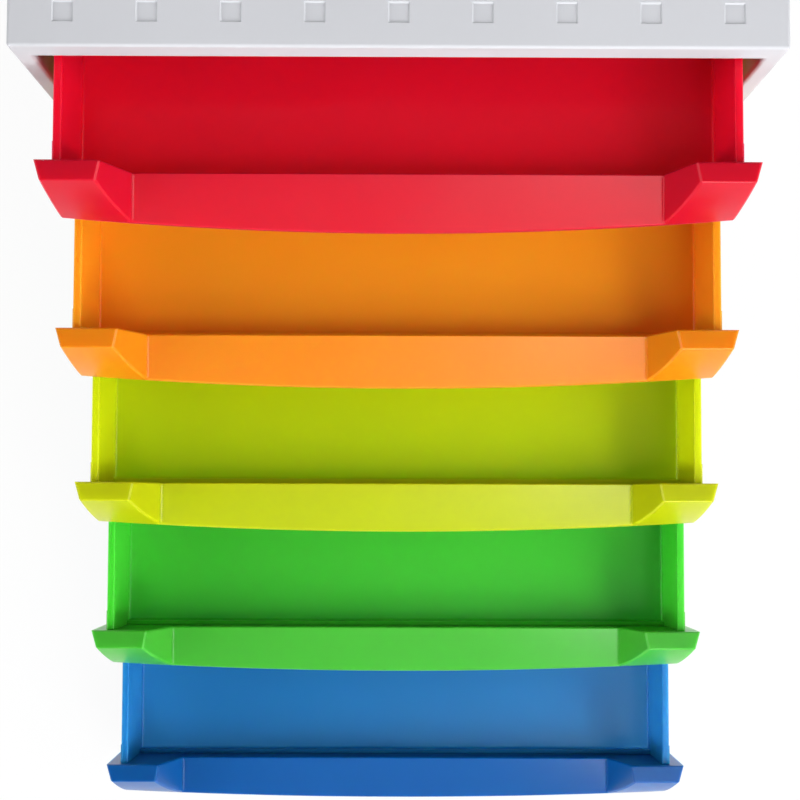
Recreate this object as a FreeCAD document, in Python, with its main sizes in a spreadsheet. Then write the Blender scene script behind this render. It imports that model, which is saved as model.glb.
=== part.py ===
"""Desktop drawer unit: a moulded grey housing with five translucent drawers, drawn as a stair.

The frame has its origin on the table, under the middle of the stair. The drawers open towards -Y.
All sizes are in millimetres and live in the sheet, and the shapes follow it through expressions.
"""
import FreeCAD, Part
import os
import re
import Sketcher

# Driving dimensions: alias, value, what it sets.
SIZES = [
    ("housing_width", 275, "outside width of the housing"),
    ("housing_depth", 330, "outside depth of the housing"),
    ("cover_height", 12, "height of the top cover's rim"),
    ("base_height", 8, "height of the base panel"),
    ("foot_drop", 3, "gap from the table to the base panel"),
    ("skin", 2.6, "wall of the housing mouldings"),
    ("frame_width", 6.5, "width of the side panels' front edge"),
    ("edge_round", 1.2, "rounding of the housing's outer edges"),
    ("rib_wall", 1.8, "wall of the stiffening ribs"),
    ("rib_drop", 4, "height of the stiffening ribs"),
    ("rear_margin", 13, "width of the frame raised round the rear panel"),
    ("rear_recess", 0.9, "depth of the rear panel's middle below its frame"),
    ("dimple_side", 7.6, "side of the square dimples in the cover"),
    ("dimple_pitch", 29.5, "distance between dimples"),
    ("dimple_setback", 12.6, "from the cover's front face to the middle of the dimples"),
    ("dimple_depth", 0.6, "depth of the dimples"),
    ("dimple_slope", 40, "lean of the dimples' sides, in degrees"),
    ("tab_length", 22, "length of the panels' locating tabs"),
    ("tab_wall", 2.2, "thickness of the locating tabs"),
    ("tab_height", 4, "height of the locating tabs"),
    ("fit", 0.2, "clearance of pieces that lock together"),
    ("foot_side", 14, "side of a square rubber foot"),
    ("foot_setback", 20, "from the housing's faces to the middle of a foot"),
    ("foot_socket", 1.5, "depth of the socket that holds a foot"),
    ("boss_wall", 2, "wall round a foot's socket"),
    ("front_height", 40, "height of a drawer front"),
    ("front_gap", 2, "from a drawer front up to the drawer above"),
    ("top_gap", 1, "from the top drawer front to the cover's rim"),
    ("base_gap", 3, "from the base panel to the lowest drawer"),
    ("side_gap", 0.8, "from a drawer front to the side panel's edge"),
    ("shut_inset", 12, "how far a shut front's plate lies behind the housing's face"),
    ("rear_gap", 3.4, "from a shut tray to the rear panel"),
    ("front_wall", 2, "wall of a drawer front"),
    ("ear_depth", 7.5, "depth of an ear's flat top"),
    ("ear_width", 23.7, "width of an ear's top at its back"),
    ("ear_flare", 1.5, "how much narrower an ear's top is at its front edge"),
    ("ear_foot", 31.7, "width of an ear where it meets the lip's top edge"),
    ("end_taper", 2.1, "how far an ear's end draws in over the depth of its top"),
    ("ear_crown", 0.028, "how much an ear's front face swells, for each mm of its height"),
    ("ear_round", 0.8, "rounding of the ears' crests and the nose"),
    ("ear_chamfer", 0.6, "chamfer on the ears' other edges"),
    ("lip_round", 1.2, "hollow rounding between ear and lip"),
    ("lip_height", 17.6, "top edge of the lip between the ears"),
    ("nose_reach", 20, "how far the lip's nose stands out in the middle"),
    ("nose_reach_end", 15.5, "how far the nose stands out at the ends"),
    ("nose_height", 5.9, "height of the nose in the middle"),
    ("nose_height_end", 13.9, "height of the nose at the ends"),
    ("nose_edge", 1.6, "height of the blunt edge under the nose"),
    ("cheek_length", 8, "length of the cheeks that hold the tray"),
    ("cheek_wall", 1.6, "thickness of the cheeks"),
    ("catch_side", 4, "side of the square catch on a cheek"),
    ("catch_height", 14, "height of the catch's middle"),
    ("rim_setback", 5.9, "from a front's end to the tray's rim"),
    ("rim_height", 36, "top of the tray's rim"),
    ("rim_lip", 1.2, "how far the rim stands out from the wall"),
    ("rim_thick", 2.2, "height of the rim"),
    ("tray_wall", 1.9, "wall of a tray"),
    ("tray_floor", 2, "floor of a tray"),
    ("tray_draft", 0.8, "how far a tray's wall leans in down to its foot"),
    ("floor_round", 1.2, "rounding between a tray's walls and floor"),
    ("corner_cut", 3, "how much is cut off a tray's rear corners, inside and out"),
    ("rim_round", 0.6, "rounding of a tray's rim"),
    ("sill_drop", 11.6, "from the lip's top edge down to the tray's own front wall"),
    ("lug_length", 6, "length of a tray's stop lugs"),
    ("lug_reach", 4, "how far a stop lug stands out from the rim"),
    ("lug_height", 12, "height of a stop lug"),
    ("lug_foot", 6, "from a tray's underside to its stop lugs"),
    ("lug_setback", 2, "from a tray's back to its stop lugs"),
    ("rail_thick", 2.4, "thickness of the rails that carry a tray"),
    ("rail_overlap", 4, "how far a rail reaches under a tray"),
    ("rail_start", 1.5, "from a shut front's plate to the rails"),
    ("run_gap", 0.3, "running clearance between tray and rail"),
    ("kick_wall", 2.4, "thickness of the rib that keeps a tray from tipping"),
    ("kick_gap", 0.8, "clearance above a tray's rim"),
    ("stop_setback", 18, "from the housing's face to the stop ribs"),
    ("stop_wall", 3, "thickness of a stop rib"),
    ("stop_height", 26, "height of a stop rib"),
    ("stop_play", 0.5, "clearance left between lug and stop at full travel"),
    ("red_to_stop", 245.3, "travel left on the red drawer"),
    ("orange_to_stop", 189.6, "travel left on the orange drawer"),
    ("yellow_to_stop", 131.7, "travel left on the yellow drawer"),
    ("green_to_stop", 68.8, "travel left on the green drawer"),
    ("blue_to_stop", 5.5, "travel left on the blue drawer"),
]
COLOURS = ["red", "orange", "yellow", "green", "blue"]
DIMPLES = 9
TABS = 3
NAMES = {alias for alias, _, _ in SIZES}
# What counts as no difference between two sizes.
SAME = 0.01

# Places that several pieces share.
HALF_WIDTH = "(housing_width / 2)"
HALF_DEPTH = "(housing_depth / 2)"
PITCH = "(front_height + front_gap)"
BASE_TOP = "(foot_drop + base_height)"
LOWEST = f"({BASE_TOP} + base_gap)"
PANEL_HEIGHT = f"(base_gap + {len(COLOURS) - 1} * {PITCH} + front_height + top_gap)"
INNER_WIDTH = f"({HALF_WIDTH} - skin)"
EDGE_WIDTH = f"({HALF_WIDTH} - frame_width)"
FRONT_HALF = f"({EDGE_WIDTH} - side_gap)"
RIM_HALF = f"({FRONT_HALF} - rim_setback)"
WALL_HALF = f"({RIM_HALF} - rim_lip)"
FOOT_HALF = f"({WALL_HALF} - tray_draft)"
CATCH_TIP = f"({FOOT_HALF} - tray_wall / 4)"
SHUT = f"(shut_inset - {HALF_DEPTH})"
TRAY_LENGTH = "(housing_depth - shut_inset - skin - rear_gap)"
LUG_FRONT = f"({TRAY_LENGTH} - lug_setback - lug_length)"
TRAVEL = f"(shut_inset + {LUG_FRONT} - stop_setback - stop_wall - stop_play)"
RAIL_INNER = f"({FOOT_HALF} - rail_overlap)"
RAIL_LENGTH = "(housing_depth - shut_inset - rail_start - 2 * skin - fit)"
TAB_SPACING = "(housing_depth / 4)"
REAR_TAB = "(housing_width / 4)"
SOCKET_CEILING = "(foot_drop + foot_socket)"
# The housing's middle stands behind the origin by half of what the longest drawer sticks out.
HOUSING_MIDDLE = f"(({TRAVEL} - blue_to_stop + nose_reach - shut_inset) / 2)"

doc = FreeCAD.newDocument("DrawerUnit")


def make_sheet():
    """The sheet of driving dimensions, one row each."""
    table = doc.addObject("Spreadsheet::Sheet", "Size")
    for row, (alias, number, note) in enumerate(SIZES, 1):
        table.set(f"A{row}", note)
        table.set(f"B{row}", str(number))
        table.setAlias(f"B{row}", alias)
    doc.recompute()
    return table


sheet = make_sheet()


def formula(text):
    """The expression for a text that names sizes of the sheet."""
    return re.sub(r"[a-z_]+", lambda word: f"Size.{word[0]}" if word[0] in NAMES else word[0], text)


def value(text):
    """What such a text comes to now."""
    return float(sheet.evalExpression(formula(text)))


def bind(thing, path, text):
    thing.setExpression(path, formula(text))


def place(thing, **spots):
    """Bind the place of an object, axis by axis."""
    for axis, text in spots.items():
        bind(thing, f"Placement.Base.{axis}", text)


def new_body(label):
    body = doc.addObject("PartDesign::Body", label)
    body.Label = label
    return body


def origin_item(body, role):
    return next(item for item in body.Origin.OriginFeatures if item.Role == role)


def new_sketch(body, name, plane, shift):
    """A sketch on one of the body's own planes, moved along the plane's normal."""
    sketch = body.newObject("Sketcher::SketchObject", name)
    sketch.AttachmentSupport = (origin_item(body, plane), [""])
    sketch.MapMode = "FlatFace"
    bind(sketch, "AttachmentOffset.Base.z", shift)
    return sketch


def pin_point(sketch, curve, point, spot, tag):
    """Tie a point of a curve to its place across and up the sketch."""
    for kind, axis, text in zip(("DistanceX", "DistanceY"), (-2, -1), spot):
        size = value(text)
        if size == 0:
            sketch.addConstraint(Sketcher.Constraint("PointOnObject", curve, point, axis))
            continue
        index = sketch.addConstraint(Sketcher.Constraint(kind, -1, 1, curve, point, size))
        name = f"{tag}_{kind[-1].lower()}"
        sketch.renameConstraint(index, name)
        bind(sketch, f"Constraints.{name}", text)


def outline(sketch, corners, arcs=None):
    """A closed outline through corners that are given as texts.

    A side is straight, or an arc through the point that arcs gives for the number of its first corner.
    """
    arcs = arcs or {}
    spots = [spot_of(corner) for corner in corners]
    sides = []
    for index, start in enumerate(spots):
        end = spots[(index + 1) % len(spots)]
        if index in arcs:
            sides.append(sketch.addGeometry(Part.Arc(start, spot_of(arcs[index]), end), False))
        else:
            sides.append(sketch.addGeometry(Part.LineSegment(start, end), False))
    for index, corner in enumerate(corners):
        side, before = sides[index], sides[index - 1]
        start, end = end_at(sketch, side, spots[index]), end_at(sketch, before, spots[index])
        sketch.addConstraint(Sketcher.Constraint("Coincident", before, end, side, start))
        pin_point(sketch, side, start, corner, f"corner{side}")
    for index, point in arcs.items():
        mark = sketch.addGeometry(Part.Point(spot_of(point)), True)
        pin_point(sketch, mark, 1, point, f"through{mark}")
        sketch.addConstraint(Sketcher.Constraint("PointOnObject", mark, 1, sides[index]))
    return sketch


def spot_of(corner):
    """Where a corner that is given as texts lies now."""
    across, up = corner
    return FreeCAD.Vector(value(across), value(up), 0)


def end_at(sketch, side, spot):
    """Which end of a side, 1 or 2, lies at a spot."""
    return min((1, 2), key=lambda end: sketch.getPoint(side, end).distanceToPoint(spot))


def rectangle(sketch, left, right, low, high):
    return outline(sketch, [(left, low), (right, low), (right, high), (left, high)])


def square(sketch, across, up, side):
    """A square round a middle."""
    return rectangle(sketch, f"{across} - ({side}) / 2", f"{across} + ({side}) / 2",
                     f"{up} - ({side}) / 2", f"{up} + ({side}) / 2")


def raised(kind, body, name, sketch, length, flip=False):
    """A Pad or a Pocket of a sketch."""
    feature = body.newObject(f"PartDesign::{kind}", name)
    feature.Profile = sketch
    bind(feature, "Length", length)
    feature.Reversed = flip
    sketch.Visibility = False
    return feature


def pad(body, name, sketch, length, flip=False):
    return raised("Pad", body, name, sketch, length, flip)


def pocket(body, name, sketch, length, flip=False):
    return raised("Pocket", body, name, sketch, length, flip)


def repeat(body, name, feature, axis, length, count, flip=False):
    """Evenly spaced copies of a feature."""
    pattern = body.newObject("PartDesign::LinearPattern", name)
    pattern.Originals = [feature]
    pattern.Direction = (origin_item(body, axis), [""])
    pattern.Reversed = flip
    pattern.Occurrences = count
    bind(pattern, "Length", length)
    body.Tip = pattern
    return pattern


def mirror(body, name, features, plane="YZ_Plane"):
    copy = body.newObject("PartDesign::Mirrored", name)
    copy.Originals = features
    copy.MirrorPlane = (origin_item(body, plane), [""])
    body.Tip = copy
    return copy


def edges_of(shape, test):
    """Names of the edges whose box passes a test."""
    return [f"Edge{index}" for index, edge in enumerate(shape.Edges, 1) if test(edge.BoundBox)]


def break_edges(body, name, kind, size, test):
    """Round or chamfer the edges of a body's last feature that pass a test."""
    doc.recompute()
    base = body.Tip
    feature = body.newObject(f"PartDesign::{kind}", name)
    feature.Base = (base, edges_of(base.Shape, test))
    bind(feature, "Radius" if kind == "Fillet" else "Size", size)
    doc.recompute()
    return feature


def near(number, text):
    return abs(number - value(text)) < SAME


def upright(box):
    return box.ZLength > box.XLength + box.YLength


def make_cover():
    """The top cover: a shallow lid with a row of square dimples along its front edge."""
    body = new_body("top_cover")
    place(body, y=HOUSING_MIDDLE, z=f"{BASE_TOP} + {PANEL_HEIGHT}")
    plan = new_sketch(body, "cover_plan", "XY_Plane", "0")
    rectangle(plan, f"-{HALF_WIDTH}", HALF_WIDTH, f"-{HALF_DEPTH}", HALF_DEPTH)
    pad(body, "cover_block", plan, "cover_height")
    break_edges(body, "cover_corners", "Fillet", "edge_round", upright)
    break_edges(body, "cover_top_edge", "Fillet", "edge_round", lambda box: near(box.ZMin, "cover_height"))
    hollow = new_sketch(body, "cover_hollow", "XY_Plane", "0")
    rectangle(hollow, f"-{INNER_WIDTH}", INNER_WIDTH, f"skin - {HALF_DEPTH}", f"{HALF_DEPTH} - skin")
    pocket(body, "cover_inside", hollow, "cover_height - skin", flip=True)
    rib = new_sketch(body, "cover_rib_plan", "XY_Plane", "cover_height - skin")
    rectangle(rib, f"-{INNER_WIDTH}", INNER_WIDTH, f"{TAB_SPACING} - rib_wall / 2 - {HALF_DEPTH}",
              f"{TAB_SPACING} + rib_wall / 2 - {HALF_DEPTH}")
    first_rib = pad(body, "cover_rib", rib, "rib_drop", flip=True)
    repeat(body, "cover_ribs", first_rib, "Y_Axis", "housing_depth / 2", TABS)
    dimple = new_sketch(body, "dimple_plan", "XY_Plane", "cover_height")
    middle = f"(-dimple_pitch * {(DIMPLES - 1) / 2})"
    rectangle(dimple, f"{middle} - dimple_side / 2", f"{middle} + dimple_side / 2",
              f"dimple_setback - dimple_side / 2 - {HALF_DEPTH}",
              f"dimple_setback + dimple_side / 2 - {HALF_DEPTH}")
    first_dimple = pocket(body, "dimple", dimple, "dimple_depth")
    bind(first_dimple, "TaperAngle", "-dimple_slope")
    repeat(body, "dimples", first_dimple, "X_Axis", f"dimple_pitch * {DIMPLES - 1}", DIMPLES)
    return body


def make_base():
    """The base panel: an open tray turned down, with slots for the panels' tabs and four foot bosses."""
    body = new_body("base_panel")
    place(body, y=HOUSING_MIDDLE, z="foot_drop")
    plan = new_sketch(body, "base_plan", "XY_Plane", "0")
    rectangle(plan, f"-{HALF_WIDTH}", HALF_WIDTH, f"-{HALF_DEPTH}", HALF_DEPTH)
    pad(body, "base_block", plan, "base_height")
    break_edges(body, "base_corners", "Fillet", "edge_round", upright)
    break_edges(body, "base_lower_edge", "Chamfer", "edge_round / 2", lambda box: near(box.ZMax, "0"))
    hollow = new_sketch(body, "base_hollow", "XY_Plane", "0")
    rectangle(hollow, f"-{INNER_WIDTH}", INNER_WIDTH, f"skin - {HALF_DEPTH}", f"{HALF_DEPTH} - skin")
    pocket(body, "base_inside", hollow, "base_height - skin", flip=True)
    bosses = new_sketch(body, "boss_plan", "XY_Plane", "0")
    sockets = new_sketch(body, "socket_plan", "XY_Plane", "0")
    for across, along in foot_places():
        square(bosses, across, along, "foot_side + 2 * fit + 2 * boss_wall")
        square(sockets, across, along, "foot_side + 2 * fit")
    pad(body, "foot_bosses", bosses, "base_height - skin / 2")
    pocket(body, "foot_sockets", sockets, "foot_socket", flip=True)
    for side, name in ((-1, "left"), (1, "right")):
        slot = new_sketch(body, f"{name}_slot_plan", "XY_Plane", "base_height")
        near_edge = f"{side} * ({INNER_WIDTH} - fit - tab_wall - fit)"
        far_edge = f"{side} * {INNER_WIDTH}"
        rectangle(slot, near_edge, far_edge, f"-{TAB_SPACING} - tab_length / 2 - fit",
                  f"-{TAB_SPACING} + tab_length / 2 + fit")
        first_slot = pocket(body, f"{name}_slot", slot, "skin")
        repeat(body, f"{name}_slots", first_slot, "Y_Axis", f"2 * {TAB_SPACING}", TABS)
    slot = new_sketch(body, "rear_slot_plan", "XY_Plane", "base_height")
    rectangle(slot, f"{REAR_TAB} - tab_length / 2 - fit", f"{REAR_TAB} + tab_length / 2 + fit",
              f"{HALF_DEPTH} - skin - tab_wall - fit", f"{HALF_DEPTH} - skin")
    rear_slot = pocket(body, "rear_slot", slot, "skin")
    mirror(body, "rear_slots", [rear_slot])
    return body


def foot_places():
    """Where the four feet stand: across and along the base."""
    return [(f"{side} * ({HALF_WIDTH} - foot_setback)", f"{end} * ({HALF_DEPTH} - foot_setback)")
            for end in (-1, 1) for side in (-1, 1)]


def make_foot(label, across, along):
    """A square rubber foot with a chamfered tread."""
    body = new_body(label)
    place(body, x=across, y=f"{HOUSING_MIDDLE} + {along}")
    plan = new_sketch(body, f"{label}_plan", "XY_Plane", "0")
    square(plan, "0", "0", "foot_side")
    pad(body, f"{label}_block", plan, SOCKET_CEILING)
    break_edges(body, f"{label}_tread", "Chamfer", "edge_round", lambda box: near(box.ZMax, "0"))
    return body


def make_side_panel(label, side):
    """A side panel: a skin with a front edge turned in, five pairs of rails, stop ribs and tabs."""
    body = new_body(label)
    place(body, y=HOUSING_MIDDLE, z=BASE_TOP)

    def across(text):
        return f"{side} * ({text})"

    plan = new_sketch(body, f"{label}_plan", "XY_Plane", "0")
    outline(plan, [(across(HALF_WIDTH), f"-{HALF_DEPTH}"), (across(HALF_WIDTH), HALF_DEPTH),
                   (across(INNER_WIDTH), HALF_DEPTH), (across(INNER_WIDTH), f"skin - {HALF_DEPTH}"),
                   (across(EDGE_WIDTH), f"skin - {HALF_DEPTH}"), (across(EDGE_WIDTH), f"-{HALF_DEPTH}")])
    pad(body, f"{label}_skin", plan, PANEL_HEIGHT)
    outer = f"{side} * {HALF_WIDTH}"
    inner = f"{side} * {EDGE_WIDTH}"
    break_edges(body, f"{label}_front_edges", "Fillet", "edge_round",
                lambda box: upright(box) and near(box.YMin, f"-{HALF_DEPTH}")
                and (near(box.XMin, outer) or near(box.XMin, inner)))
    shelf = new_sketch(body, f"{label}_flange_plan", "XY_Plane", "0")
    rectangle(shelf, across(EDGE_WIDTH), across(INNER_WIDTH), f"skin - {HALF_DEPTH}",
              f"{HALF_DEPTH} - skin - fit - rib_wall")
    lower = pad(body, f"{label}_flange", shelf, "rib_wall")
    repeat(body, f"{label}_flanges", lower, "Z_Axis", f"{PANEL_HEIGHT} - rib_wall", 2)
    make_rails(body, label, across)
    make_stop_ribs(body, label, across)
    guide = new_sketch(body, f"{label}_rear_rib_plan", "XY_Plane", "0")
    rectangle(guide, across(EDGE_WIDTH), across(INNER_WIDTH), f"{HALF_DEPTH} - skin - fit - rib_wall",
              f"{HALF_DEPTH} - skin - fit")
    pad(body, f"{label}_rear_rib", guide, PANEL_HEIGHT)
    for name, start, flip in (("lower", "0", True), ("upper", PANEL_HEIGHT, False)):
        tab = new_sketch(body, f"{label}_{name}_tab_plan", "XY_Plane", start)
        rectangle(tab, across(f"{INNER_WIDTH} - fit - tab_wall"), across(f"{INNER_WIDTH} - fit"),
                  f"-{TAB_SPACING} - tab_length / 2", f"-{TAB_SPACING} + tab_length / 2")
        first_tab = pad(body, f"{label}_{name}_tab", tab, "tab_height", flip=flip)
        repeat(body, f"{label}_{name}_tabs", first_tab, "Y_Axis", f"2 * {TAB_SPACING}", TABS)
    return body


def make_rails(body, label, across):
    """Rails under each tray, with a rib hanging from them that holds down the tray below."""
    start = f"{HALF_DEPTH} - shut_inset - rail_start"
    kick_low = "base_gap - front_gap - front_height + rim_height + kick_gap"
    kick_in = f"{RIM_HALF} - kick_wall"

    def rail(name, corners):
        section = new_sketch(body, f"{label}_{name}_section", "XZ_Plane", start)
        outline(section, [(across(spot), height) for spot, height in corners])
        return pad(body, f"{label}_{name}", section, RAIL_LENGTH, flip=True)

    low = "base_gap - run_gap - rail_thick"
    high = "base_gap - run_gap"
    rail("lowest_rail", [(INNER_WIDTH, high), (RAIL_INNER, high), (RAIL_INNER, low), (INNER_WIDTH, low)])
    up = f" + {PITCH}"
    hanging = [(INNER_WIDTH, high + up), (RAIL_INNER, high + up), (RAIL_INNER, low + up),
               (kick_in, low + up), (kick_in, kick_low + up), (RIM_HALF, kick_low + up),
               (RIM_HALF, low + up), (INNER_WIDTH, low + up)]
    first = rail("rail", hanging)
    repeat(body, f"{label}_rails", first, "Z_Axis", f"{len(COLOURS) - 2} * {PITCH}", len(COLOURS) - 1)
    top = f"{kick_low} + {len(COLOURS)} * {PITCH}"
    rail("top_rail", [(INNER_WIDTH, f"{top} + rail_thick"), (kick_in, f"{top} + rail_thick"),
                      (kick_in, top), (INNER_WIDTH, top)])


def make_stop_ribs(body, label, across):
    """Upright ribs near the front that catch the trays' lugs at full travel."""
    plan = new_sketch(body, f"{label}_stop_plan", "XY_Plane", "base_gap - run_gap")
    rectangle(plan, across(f"{RIM_HALF} + lug_reach / 2"), across(INNER_WIDTH),
              f"stop_setback - {HALF_DEPTH}", f"stop_setback + stop_wall - {HALF_DEPTH}")
    first = pad(body, f"{label}_stop", plan, "stop_height")
    repeat(body, f"{label}_stops", first, "Z_Axis", f"{len(COLOURS) - 1} * {PITCH}", len(COLOURS))


def make_rear_panel():
    """The rear panel: a plate between the side skins, stiffened by a raised frame."""
    body = new_body("rear_panel")
    place(body, y=f"{HOUSING_MIDDLE} + {HALF_DEPTH} - skin", z=BASE_TOP)
    face = new_sketch(body, "rear_face", "XZ_Plane", "0")
    rectangle(face, f"fit - {INNER_WIDTH}", f"{INNER_WIDTH} - fit", "0", PANEL_HEIGHT)
    pad(body, "rear_plate", face, "skin", flip=True)
    recess = new_sketch(body, "rear_recess_plan", "XZ_Plane", "-skin")
    rectangle(recess, f"rear_margin - {INNER_WIDTH}", f"{INNER_WIDTH} - rear_margin", "rear_margin",
              f"{PANEL_HEIGHT} - rear_margin")
    pocket(body, "rear_middle", recess, "rear_recess", flip=True)
    for name, start, end in (("lower", "-tab_height", "2 * tab_height"),
                             ("upper", f"{PANEL_HEIGHT} - 2 * tab_height", f"{PANEL_HEIGHT} + tab_height")):
        tab = new_sketch(body, f"rear_{name}_tab_face", "XZ_Plane", "0")
        rectangle(tab, f"{REAR_TAB} - tab_length / 2", f"{REAR_TAB} + tab_length / 2", start, end)
        first_tab = pad(body, f"rear_{name}_tab", tab, "tab_wall")
        mirror(body, f"rear_{name}_tabs", [first_tab])
    return body


def make_tray():
    """A drawer's tray: a drafted channel with a rim, closed at both ends, with stop lugs at the back."""
    body = new_body("tray_form")
    section = new_sketch(body, "tray_section", "XZ_Plane", "0")
    under_rim = "rim_height - rim_thick"
    right = [(FOOT_HALF, "0"), (f"{WALL_HALF} - tray_draft * rim_thick / rim_height", under_rim),
             (RIM_HALF, under_rim), (RIM_HALF, "rim_height"),
             (f"{WALL_HALF} - tray_wall", "rim_height"), (f"{FOOT_HALF} - tray_wall", "tray_floor")]
    left = [(f"-({across})", up) for across, up in reversed(right)]
    outline(section, right + left)
    pad(body, "tray_channel", section, TRAY_LENGTH, flip=True)
    for name, near_face, top in (("front", "0", "lip_height - sill_drop"),
                                 ("rear", f"{TRAY_LENGTH} - tray_wall", "rim_height")):
        wall = new_sketch(body, f"tray_{name}_section", "XZ_Plane", f"-({near_face})")
        rectangle(wall, f"tray_wall / 2 - {FOOT_HALF}", f"{FOOT_HALF} - tray_wall / 2",
                  "tray_floor / 2", top)
        pad(body, f"tray_{name}_wall", wall, "tray_wall", flip=True)
    rear = f"{TRAY_LENGTH} - tray_wall"
    corner = new_sketch(body, "tray_corner_plan", "XY_Plane", "0")
    outline(corner, [(RIM_HALF, TRAY_LENGTH), (f"{RIM_HALF} - corner_cut", TRAY_LENGTH),
                     (RIM_HALF, f"{TRAY_LENGTH} - corner_cut")])
    corner_pocket = pocket(body, "tray_corner", corner, "rim_height", flip=True)
    mirror(body, "tray_corners", [corner_pocket])
    inside = f"({WALL_HALF} - tray_wall)"
    behind = f"({rear} + tray_wall / 2)"
    gusset = new_sketch(body, "tray_gusset_plan", "XY_Plane", "tray_floor / 2")
    outline(gusset, [(WALL_HALF, behind), (f"{inside} - corner_cut", behind), (f"{inside} - corner_cut", rear),
                     (inside, f"{rear} - corner_cut"), (WALL_HALF, f"{rear} - corner_cut")])
    gusset_pad = pad(body, "tray_gusset", gusset, "rim_height - tray_floor / 2")
    mirror(body, "tray_gussets", [gusset_pad])
    break_edges(body, "tray_inner_corners", "Fillet", "floor_round",
                lambda box: near(box.ZMax, "tray_floor") and near(box.ZMin, "tray_floor"))
    break_edges(body, "tray_rim_edges", "Fillet", "rim_round", lambda box: near(box.ZMin, "rim_height"))
    lug = new_sketch(body, "lug_plan", "XY_Plane", "lug_foot")
    rectangle(lug, f"{FOOT_HALF} - tray_wall / 2", f"{RIM_HALF} + lug_reach", LUG_FRONT,
              f"{LUG_FRONT} + lug_length")
    lug_pad = pad(body, "lug", lug, "lug_height")
    mirror(body, "lugs", [lug_pad])
    recess = new_sketch(body, "catch_recess_plan", "YZ_Plane", f"{CATCH_TIP} - fit")
    square(recess, "cheek_length / 2", "catch_height", "catch_side + 2 * fit")
    recess_pocket = pocket(body, "catch_recess", recess, "tray_wall", flip=True)
    mirror(body, "catch_recesses", [recess_pocket])
    return body


def section_loft(name, rings, ruled):
    """A solid lofted through closed outlines. A ring has its plane, its place, its corners and its arcs."""
    sketches = []
    for index, (rotation, base, corners, arcs) in enumerate(rings):
        sketch = doc.addObject("Sketcher::SketchObject", f"{name}_ring{index}")
        sketch.Placement = FreeCAD.Placement(FreeCAD.Vector(), rotation)
        place(sketch, **base)
        outline(sketch, corners, arcs)
        sketches.append(sketch)
    loft = doc.addObject("Part::Loft", name)
    loft.Sections = sketches
    loft.Solid = True
    loft.Ruled = ruled
    return loft


ACROSS = FreeCAD.Rotation(FreeCAD.Vector(0, 1, 0), FreeCAD.Vector(0, 0, 1), FreeCAD.Vector(1, 0, 0), "XYZ")
ALONG = FreeCAD.Rotation(FreeCAD.Vector(1, 0, 0), FreeCAD.Vector(0, 0, 1), FreeCAD.Vector(0, -1, 0), "XYZ")


def nose(at_end, inset):
    """The lip's nose, as distance out from the plate and height, in the middle or at the ends."""
    tail = "_end" if at_end else ""
    return f"(nose_reach{tail} - {inset})", f"nose_height{tail}"


def cross_loft(name, corners_at, swell_at=None):
    """A loft across the front through its two ends and its middle.

    A swell is a point that the side from the last corner but one to the last bends through.
    """
    rings = []
    for side in (-1, 0, 1):
        at_end = side != 0
        corners = [ahead(corner) for corner in corners_at(at_end)]
        arcs = {len(corners) - 2: ahead(swell_at(at_end))} if swell_at else {}
        rings.append((ACROSS, {"x": f"{side} * {FRONT_HALF}"}, corners, arcs))
    return section_loft(name, rings, False)


def ahead(point):
    """A point in front of the plate, as its sketch has it."""
    out, up = point
    return f"-({out})", up


def beyond(start, end, share):
    """A point on the line through start and end: 0 is the start, 1 the end, 2 as far again past the end."""
    return tuple(f"({a} + {share} * ({b} - ({a})))" for a, b in zip(start, end))


def combine(kind, name, shapes):
    """A Cut of two shapes, or a MultiCommon or MultiFuse of several."""
    result = doc.addObject(f"Part::{kind}", name)
    if kind == "Cut":
        result.Base, result.Tool = shapes
    else:
        result.Shapes = shapes
    return result


def ear_side(inset, out, up):
    """How far from the middle an ear's inner side is, at a distance out from the plate and a height."""
    flare = f"ear_flare / ear_depth * ({out})"
    lean = f"(ear_foot - ear_width) / (front_height - lip_height) * ({up} - front_height)"
    return f"({FRONT_HALF} + {inset} - ear_width + {flare} + {lean})"


def front_form(tag, inset, foot):
    """The front's outer form, or with an inset the hollow inside it: two ears and the lip between."""
    crest = (f"(ear_depth - {inset})", f"(front_height - {inset})")
    behind, deep, high = "-nose_reach", "-front_height", "2 * front_height"

    def profile(at_end):
        tip = nose(at_end, inset)
        return [(behind, deep), (behind, high), swollen(crest, tip, -1, -8), swollen(crest, tip, 2, -8)]

    def swell(at_end):
        return swollen(crest, nose(at_end, inset), 0.5, 1)

    def above_lip(at_end):
        reach, height = nose(at_end, "0")
        back = ("0", f"lip_height - {inset}")
        tip = (reach, f"({height} - {inset})")
        return [beyond(back, tip, -1), beyond(back, tip, 2), (f"2 * {reach}", high), (f"-{reach}", high)]

    block = front_block(tag, inset, foot)
    form = combine("MultiCommon", f"{tag}_form", [cross_loft(f"{tag}_profile", profile, swell), block])
    rings = []
    for out in ("-front_wall", "2 * nose_reach"):
        corners = [(ear_side(inset, out, up), up) for up in (deep, high)]
        mirrored = [(f"-{across}", up) for across, up in reversed(corners)]
        rings.append((ALONG, {"y": f"-({out})"}, corners + mirrored, {}))
    gap = section_loft(f"{tag}_gap", rings, True)
    notch = combine("MultiCommon", f"{tag}_notch", [cross_loft(f"{tag}_above_lip", above_lip), gap])
    return combine("Cut", f"{tag}_shape", [form, notch])


def swollen(start, end, share, crowns):
    """A point on the line through start and end, moved square to it by so many crowns.

    A shallow arc over that line stands one crown high at its middle, and drawn on by its own length
    each way it has fallen to eight crowns below.
    """
    out, up = beyond(start, end, share)
    return (f"{out} + {crowns} * ear_crown * ({start[1]} - {end[1]})",
            f"{up} + {crowns} * ear_crown * ({end[0]} - {start[0]})")


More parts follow.
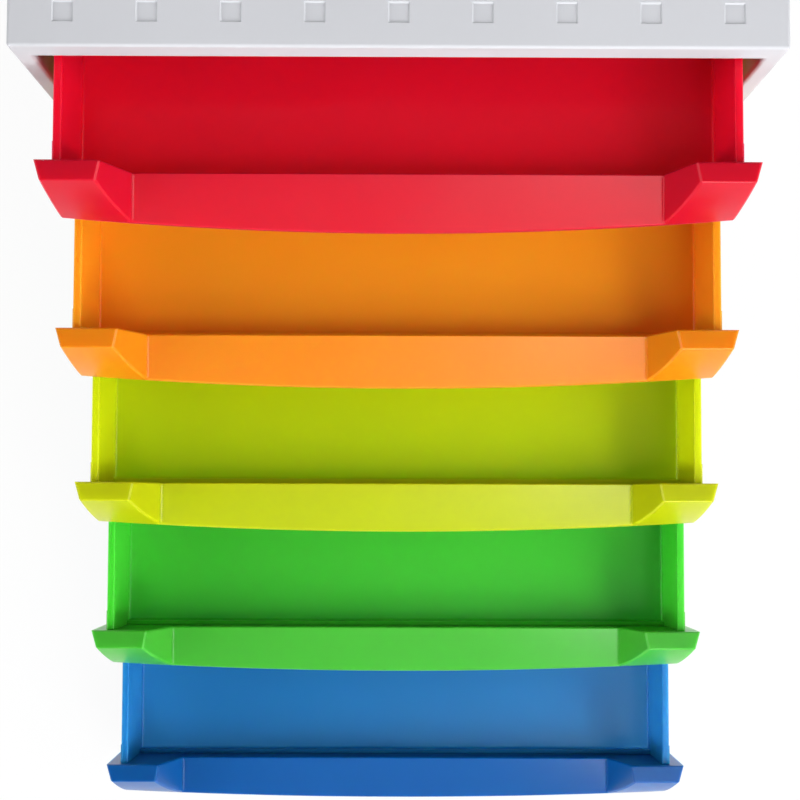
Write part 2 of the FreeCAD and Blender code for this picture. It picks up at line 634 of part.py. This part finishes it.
def front_block(tag, inset, foot):
    """A block with the front's flat back, top and foot, and ends that draw in towards the nose."""
    reach = "2 * nose_reach"
    taper = f"end_taper / ear_depth * {reach}"
    half = f"({FRONT_HALF} - {inset})"
    plan = doc.addObject("Sketcher::SketchObject", f"{tag}_plan")
    place(plan, z=foot)
    outline(plan, [(f"-{half}", f"-{inset}"), (half, f"-{inset}"), (f"{half} - {taper}", f"-{reach}"),
                   (f"{taper} - {half}", f"-{reach}")])
    block = doc.addObject("Part::Extrusion", f"{tag}_block")
    block.Base = plan
    block.DirMode = "Normal"
    block.Solid = True
    bind(block, "LengthFwd", f"front_height - {inset} - ({foot})")
    return block


def make_front():
    """A drawer front: a plate with two raised ears and a bowed lip, hollow from below, and two cheeks."""
    skin = front_form("front_skin", "0", "-front_wall")
    core = front_form("front_core", "front_wall", "-front_height")

    def underside(at_end):
        edge = nose(at_end, "0")
        blunt = (edge[0], f"({edge[1]} - nose_edge)")
        root = ("front_wall", "0")
        far = beyond(root, blunt, 2)
        deep = "-front_height"
        return [("-front_wall", "0"), root, far, (far[0], deep), ("-front_wall", deep)]

    rounded = finish_edges(skin)
    below = cross_loft("front_underside", underside)
    trimmed = combine("Cut", "front_trimmed", [rounded, below])
    shell = combine("Cut", "front_shell", [trimmed, core])
    cheek = make_cheek()
    other_cheek = doc.addObject("Part::Mirroring", "other_cheek")
    other_cheek.Source = cheek
    other_cheek.Normal = FreeCAD.Vector(1, 0, 0)
    return combine("MultiFuse", "front_form", [shell, cheek, other_cheek])


def finish_edges(skin):
    """Round the ears' crests, the nose and the hollow beside each ear, and chamfer the other edges seen."""
    def is_round(box):
        return (box.YMax < -value("ear_depth / 2") and box.ZMax > 0
                and box.XLength > max(value("ear_depth"), box.ZLength))

    def is_hollow(box):
        return box.YLength > value("nose_reach / 2") and 0 < box.ZMax < value("lip_height") + SAME

    def is_sharp(box):
        return box.ZMax < 0 or box.XLength < SAME

    doc.recompute()
    sizes = [None if is_round(box) or is_hollow(box) or is_sharp(box) else value("ear_chamfer")
             for box in boxes_of(skin)]
    bevelled = finish(skin, "Chamfer", "front_bevelled", sizes)
    sizes = [value("ear_round") if is_round(box) else value("lip_round") if is_hollow(box) else None
             for box in boxes_of(bevelled)]
    return finish(bevelled, "Fillet", "front_rounded", sizes)


def boxes_of(shape_object):
    return [edge.BoundBox for edge in shape_object.Shape.Edges]


def finish(base, kind, name, sizes):
    """Chamfer or round each edge that has a size."""
    feature = doc.addObject(f"Part::{kind}", name)
    feature.Base = base
    feature.Edges = [(index, size, size) for index, size in enumerate(sizes, 1) if size]
    doc.recompute()
    return feature


def make_cheek():
    """A cheek behind an ear that hugs the tray's wall, with a catch that snaps into its recess."""
    inner = f"({WALL_HALF} + fit)"
    blade = doc.addObject("Part::Box", "cheek_blade")
    place(blade, x=inner, y="-front_wall / 2", z="tray_floor")
    bind(blade, "Length", "cheek_wall")
    bind(blade, "Width", "cheek_length + front_wall / 2")
    bind(blade, "Height", "rim_height - rim_thick - fit - tray_floor")
    catch = doc.addObject("Part::Box", "cheek_catch")
    place(catch, x=CATCH_TIP, y="(cheek_length - catch_side) / 2", z="catch_height - catch_side / 2")
    bind(catch, "Length", f"{inner} + cheek_wall / 2 - {CATCH_TIP}")
    bind(catch, "Width", "catch_side")
    bind(catch, "Height", "catch_side")
    return combine("MultiFuse", "cheek", [blade, catch])


def make_drawer(colour, level, forms):
    """One drawer, pulled out as far as its travel left says: a tray and the front that is snapped on it."""
    pieces = []
    for kind, form in forms.items():
        piece = doc.addObject("App::Link", f"{colour}_{kind}")
        piece.Label = f"{colour}_{kind}"
        piece.LinkedObject = form
        pulled = f"({TRAVEL} - {colour}_to_stop)"
        place(piece, y=f"{HOUSING_MIDDLE} + {SHUT} - {pulled}", z=f"{LOWEST} + {level} * {PITCH}")
        pieces.append(piece)
    return pieces


forms = {"tray": make_tray(), "front": make_front()}
parts = [make_cover(), make_base(), make_rear_panel(), make_side_panel("left_side_panel", -1),
         make_side_panel("right_side_panel", 1)]
FEET = ["front_left_foot", "front_right_foot", "rear_left_foot", "rear_right_foot"]
for label, (across, along) in zip(FEET, foot_places()):
    parts.append(make_foot(label, across, along))
for steps_down, colour in enumerate(COLOURS):
    parts += make_drawer(colour, len(COLOURS) - 1 - steps_down, forms)
doc.recompute()


def check_document():
    """Stop if any object failed, or any pocket cut nothing."""
    for thing in doc.Objects:
        if "Invalid" in thing.State or "Error" in thing.State:
            raise RuntimeError(f"{thing.Label} failed: {thing.State}")
        if thing.TypeId != "PartDesign::Pocket":
            continue
        if thing.BaseFeature.Shape.Volume - thing.Shape.Volume < SAME:
            raise RuntimeError(f"{thing.Label} cuts nothing")


def solid_of(piece):
    """The piece's shape at its place: one valid solid."""
    shape = Part.getShape(piece)
    if shape.isNull() or not shape.isValid() or len(shape.Solids) != 1:
        raise RuntimeError(f"{piece.Label} is not one valid solid")
    return shape


check_document()
shapes = {piece.Label: solid_of(piece) for piece in parts}
os.makedirs("parts", exist_ok=True)
for name, shape in shapes.items():
    shape.exportStep(f"parts/{name}.step")
    print(f"{name}: {shape.Volume / 1000:.1f} cm3")
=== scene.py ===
"""Looks for the desktop drawer unit: camera, studio light, floor and the plastics of every piece."""
import math

import bpy
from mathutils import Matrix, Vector


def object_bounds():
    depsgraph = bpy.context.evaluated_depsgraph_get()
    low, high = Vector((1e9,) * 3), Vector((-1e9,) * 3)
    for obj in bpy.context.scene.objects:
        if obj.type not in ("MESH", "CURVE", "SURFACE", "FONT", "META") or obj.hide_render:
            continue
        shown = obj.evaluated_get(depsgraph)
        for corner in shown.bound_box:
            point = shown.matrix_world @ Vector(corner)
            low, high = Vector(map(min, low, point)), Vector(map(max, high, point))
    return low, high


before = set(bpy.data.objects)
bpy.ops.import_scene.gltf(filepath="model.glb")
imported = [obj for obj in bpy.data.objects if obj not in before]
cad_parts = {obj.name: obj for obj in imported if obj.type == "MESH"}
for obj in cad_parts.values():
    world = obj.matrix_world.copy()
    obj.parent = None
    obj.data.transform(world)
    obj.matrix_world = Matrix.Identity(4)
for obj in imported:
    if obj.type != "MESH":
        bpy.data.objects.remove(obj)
cad_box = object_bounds()
scene = bpy.context.scene
scene.view_settings.view_transform = "Standard"
WHITE = (1, 1, 1, 1)

# The camera looks almost straight down on the pulled-out drawers.
CAMERA_PLACE = (-0.00186, -0.17617, 0.7897)
CAMERA_TURN = (0.0648, -0.0049, 0.0029)
LENS = 72.5
SENSOR = 36

# The surround's strength, and the heights between which it falls from the horizon's to the zenith's.
HORIZON_STRENGTH = 0.95
ZENITH_STRENGTH = 0.1
FADE_FROM = 0.25
FADE_TO = 0.6

# Softboxes round the object: azimuth from the front towards its right and elevation in degrees,
# distance, width and height in metres, power in watts.
SOFTBOXES = {
    "key": {"azimuth": 22, "elevation": 27.6, "distance": 1.08, "size": (0.42, 0.45), "power": 5.8},
    "key_high": {"azimuth": 28, "elevation": 56, "distance": 1.8, "size": (0.9, 0.9), "power": 12},
    "right": {"azimuth": 80, "elevation": 36, "distance": 1.8, "size": (1.3, 0.9), "power": 13},
    "left": {"azimuth": -78, "elevation": 24, "distance": 1.8, "size": (1.3, 0.8), "power": 12},
    "rear": {"azimuth": 180, "elevation": 10, "distance": 1.8, "size": (1.3, 0.6), "power": 5.5},
}

FLOOR_SIZE = 60
FLOOR_WHITE = (0.9, 0.9, 0.9, 1)
FLOOR_ROUGHNESS = 0.9
# The share of the floor's brightness that takes no shadow.
FLOOR_GLOW = 0.93

# The drawers' plastics: linear colour, the share that is seen straight through, and how deep light scatters
# in metres. Each front's colour is a darker copy of its tray's, as painted shade, and the yellow tray's
# colour is partly greened, as painted green light from the drawer below.
DRAWER_PLASTICS_AND_PAINTED_LIGHT = {
    "red_tray": {"colour": (0.79, 0.004, 0.025), "see_through": 0.12, "scatter": 0.007},
    "red_front": {"colour": (0.62, 0.004, 0.023), "see_through": 0.12, "scatter": 0.005},
    "orange_tray": {"colour": (0.99, 0.350, 0.013), "see_through": 0.04, "scatter": 0.003},
    "orange_front": {"colour": (0.82, 0.255, 0.006), "see_through": 0.12, "scatter": 0.004},
    "yellow_tray": {"colour": (0.57, 0.710, 0.002), "see_through": 0.12, "scatter": 0.009},
    "yellow_front": {"colour": (0.48, 0.530, 0.002), "see_through": 0.12, "scatter": 0.006},
    "green_tray": {"colour": (0.062, 0.575, 0.032), "see_through": 0.06, "scatter": 0.007},
    "green_front": {"colour": (0.062, 0.440, 0.032), "see_through": 0.12, "scatter": 0.005},
    "blue_tray": {"colour": (0.010, 0.180, 0.480), "see_through": 0.04, "scatter": 0.010},
    "blue_front": {"colour": (0.001, 0.086, 0.315), "see_through": 0.04, "scatter": 0.004},
}
DRAWER_FINISH = {"roughness": 0.30, "grain": 0.02, "mottle": 0.05, "sheen": 0.2}
HOUSING_GREY = {
    "colour": (0.565, 0.573, 0.605),
    "roughness": 0.5,
    "grain": 0.12,
    "mottle": 0.03,
    "sheen": 0.12,
}
FOOT_RUBBER = {
    "colour": (0.03, 0.03, 0.032),
    "roughness": 0.75,
    "grain": 0.35,
    "mottle": 0.05,
    "sheen": 0.3,
}

# Each noise's scale in waves a metre, and its detail.
FLOW_NOISE = (9, 3)
GLOSS_NOISE = (55, 4)
GRAIN_NOISE = (1500, 2)
# The range that most of a noise's values lie in.
NOISE_LOW = 0.3
NOISE_HIGH = 0.7
GLOSS_SPREAD = 0.07
GRAIN_DEPTH = 0.0002
PLASTIC_IOR = 1.5
# Red, green and blue light scatter equally deep.
SCATTER_ALIKE = (1, 1, 1)


def add_camera():
    data = bpy.data.cameras.new("camera")
    data.lens = LENS
    data.sensor_width = SENSOR
    camera = bpy.data.objects.new("camera", data)
    camera.location = CAMERA_PLACE
    camera.rotation_euler = CAMERA_TURN
    scene.collection.objects.link(camera)
    scene.camera = camera


def add_softbox(name, azimuth, elevation, distance, size, power):
    """A soft area lamp that looks at the middle of the object and isn't seen itself."""
    data = bpy.data.lights.new(name, "AREA")
    data.shape = "RECTANGLE"
    data.size, data.size_y = size
    data.energy = power
    lamp = bpy.data.objects.new(name, data)
    turn = math.radians(azimuth)
    rise = math.radians(elevation)
    towards = Vector((math.sin(turn) * math.cos(rise), -math.cos(turn) * math.cos(rise), math.sin(rise)))
    middle = (cad_box[0] + cad_box[1]) / 2
    lamp.location = middle + towards * distance
    lamp.rotation_euler = towards.to_track_quat("Z", "Y").to_euler()
    lamp.visible_camera = False
    scene.collection.objects.link(lamp)


def map_range(tree, source, from_low, from_high, to_low, to_high):
    """A node that carries one range of a value over to another."""
    node = tree.nodes.new("ShaderNodeMapRange")
    node.inputs["From Min"].default_value = from_low
    node.inputs["From Max"].default_value = from_high
    node.inputs["To Min"].default_value = to_low
    node.inputs["To Max"].default_value = to_high
    tree.links.new(source, node.inputs["Value"])
    return node.outputs["Result"]


def add_world():
    """A plain soft surround, bright at the horizon and dim overhead."""
    world = bpy.data.worlds.new("surround")
    scene.world = world
    world.use_nodes = True
    tree = world.node_tree
    background = tree.nodes["Background"]
    background.inputs["Color"].default_value = WHITE
    coordinates = tree.nodes.new("ShaderNodeTexCoord")
    split = tree.nodes.new("ShaderNodeSeparateXYZ")
    tree.links.new(coordinates.outputs["Generated"], split.inputs["Vector"])
    strength = map_range(tree, split.outputs["Z"], FADE_FROM, FADE_TO, HORIZON_STRENGTH, ZENITH_STRENGTH)
    tree.links.new(strength, background.inputs["Strength"])


def new_material(name):
    """A node material, its tree and its shader."""
    material = bpy.data.materials.new(name)
    material.use_nodes = True
    return material, material.node_tree, material.node_tree.nodes["Principled BSDF"]


def add_noise(tree, coordinates, scale, detail):
    noise = tree.nodes.new("ShaderNodeTexNoise")
    noise.inputs["Scale"].default_value = scale
    noise.inputs["Detail"].default_value = detail
    tree.links.new(coordinates.outputs["Object"], noise.inputs["Vector"])
    return noise.outputs["Fac"]


def vary(tree, noise, value, share):
    """A value that a noise carries up and down by a share of itself."""
    return map_range(tree, noise, NOISE_LOW, NOISE_HIGH, value * (1 - share), value * (1 + share))


def moulded(name, colour, roughness, grain, mottle, sheen, see_through=0, scatter=0):
    """A moulded plastic or rubber: faint flow marks in the colour, uneven gloss and a fine grain."""
    material, tree, shader = new_material(name)
    coordinates = tree.nodes.new("ShaderNodeTexCoord")
    tint = tree.nodes.new("ShaderNodeHueSaturation")
    tint.inputs["Color"].default_value = (*colour, 1)
    flow = vary(tree, add_noise(tree, coordinates, *FLOW_NOISE), 1, mottle)
    tree.links.new(flow, tint.inputs["Value"])
    tree.links.new(tint.outputs["Color"], shader.inputs["Base Color"])
    gloss = vary(tree, add_noise(tree, coordinates, *GLOSS_NOISE), roughness, GLOSS_SPREAD)
    tree.links.new(gloss, shader.inputs["Roughness"])
    bump = tree.nodes.new("ShaderNodeBump")
    bump.inputs["Strength"].default_value = grain
    bump.inputs["Distance"].default_value = GRAIN_DEPTH
    tree.links.new(add_noise(tree, coordinates, *GRAIN_NOISE), bump.inputs["Height"])
    tree.links.new(bump.outputs["Normal"], shader.inputs["Normal"])
    shader.inputs["IOR"].default_value = PLASTIC_IOR
    shader.inputs["Specular IOR Level"].default_value = sheen
    shader.inputs["Transmission Weight"].default_value = see_through
    if scatter:
        shader.inputs["Subsurface Weight"].default_value = 1
        shader.inputs["Subsurface Radius"].default_value = SCATTER_ALIKE
        shader.inputs["Subsurface Scale"].default_value = scatter
    return material


def either(tree, first, second):
    """One where either of two switches is on."""
    node = tree.nodes.new("ShaderNodeMath")
    node.operation = "MAXIMUM"
    tree.links.new(first, node.inputs[0])
    tree.links.new(second, node.inputs[1])
    return node.outputs["Value"]


def add_floor():
    """A white floor that keeps the object's shadow faintly."""
    bpy.ops.mesh.primitive_plane_add(size=FLOOR_SIZE)
    floor = bpy.context.object
    floor.name = "floor"
    material, tree, shader = new_material("floor_white")
    shader.inputs["Base Color"].default_value = FLOOR_WHITE
    shader.inputs["Roughness"].default_value = FLOOR_ROUGHNESS
    glow = tree.nodes.new("ShaderNodeEmission")
    rays = tree.nodes.new("ShaderNodeLightPath")
    seen = either(tree, rays.outputs["Is Camera Ray"], rays.outputs["Is Glossy Ray"])
    seen = either(tree, seen, rays.outputs["Is Transmission Ray"])
    share = map_range(tree, seen, 0, 1, 0, FLOOR_GLOW)
    blend = tree.nodes.new("ShaderNodeMixShader")
    tree.links.new(share, blend.inputs["Fac"])
    tree.links.new(shader.outputs["BSDF"], blend.inputs[1])
    tree.links.new(glow.outputs["Emission"], blend.inputs[2])
    tree.links.new(blend.outputs["Shader"], tree.nodes["Material Output"].inputs["Surface"])
    floor.data.materials.append(material)


def dress(node, material):
    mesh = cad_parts[node].data
    mesh.materials.clear()
    mesh.materials.append(material)


def dress_all():
    """Grey housing, rubber feet, and each tray and front in its own plastic, the fronts' colours darkened
    as painted shade and the yellow tray's greened as painted light.
    """
    grey = moulded("housing_grey", **HOUSING_GREY)
    rubber = moulded("foot_rubber", **FOOT_RUBBER)
    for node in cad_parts:
        dress(node, rubber if node.endswith("_foot") else grey)
    for node, plastic_and_painted_light in DRAWER_PLASTICS_AND_PAINTED_LIGHT.items():
        dress(node, moulded(f"{node}_plastic", **plastic_and_painted_light, **DRAWER_FINISH))


add_camera()
add_world()
add_floor()
for lamp_name, settings in SOFTBOXES.items():
    add_softbox(lamp_name, **settings)
dress_all()
